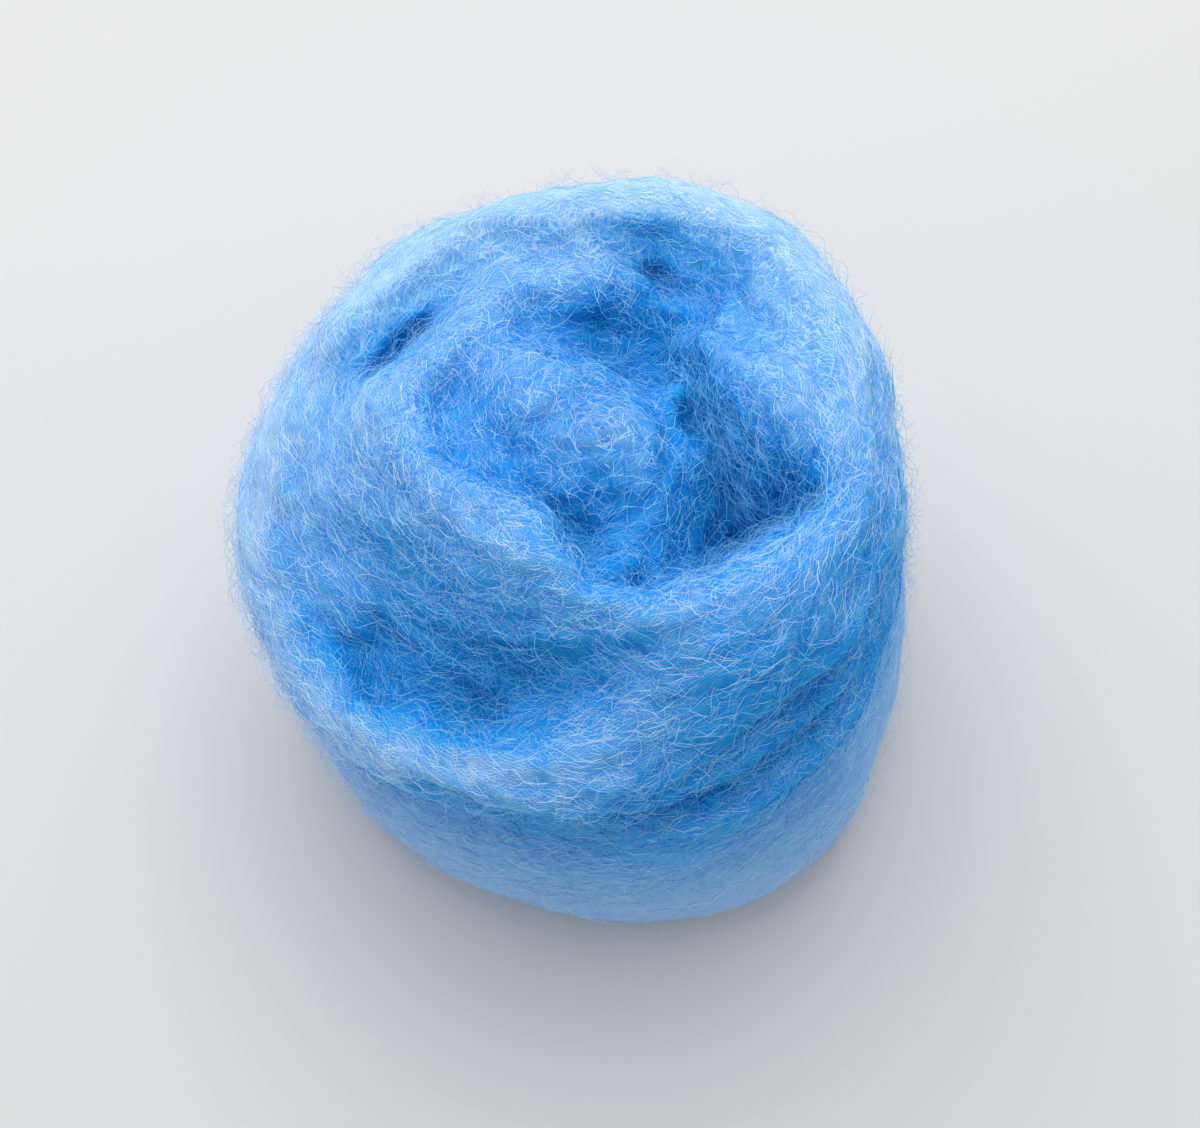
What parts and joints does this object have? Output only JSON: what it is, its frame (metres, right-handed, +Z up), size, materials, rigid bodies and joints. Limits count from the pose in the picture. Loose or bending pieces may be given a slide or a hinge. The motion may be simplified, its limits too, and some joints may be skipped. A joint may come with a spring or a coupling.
{
  "type": "wool batting roll",
  "caption": "Short roll of carded, dyed wool batting, wound up loosely and stood on its end, for felting, spinning or stuffing.",
  "frame": {"origin": "on the flat base, under the middle of the roll's box", "axes": "+Z up along the roll, +X to the right and +Y away, seen from the front, where the outer turn's lip is lowest"},
  "size_m": [0.1122, 0.1068, 0.0867],
  "materials": {
    "wool": "soft matt sky blue fibre with loose hairs"
  },
  "bodies": {
    "root": {"wool_roll": "wool"}
  },
  "joints": []
}
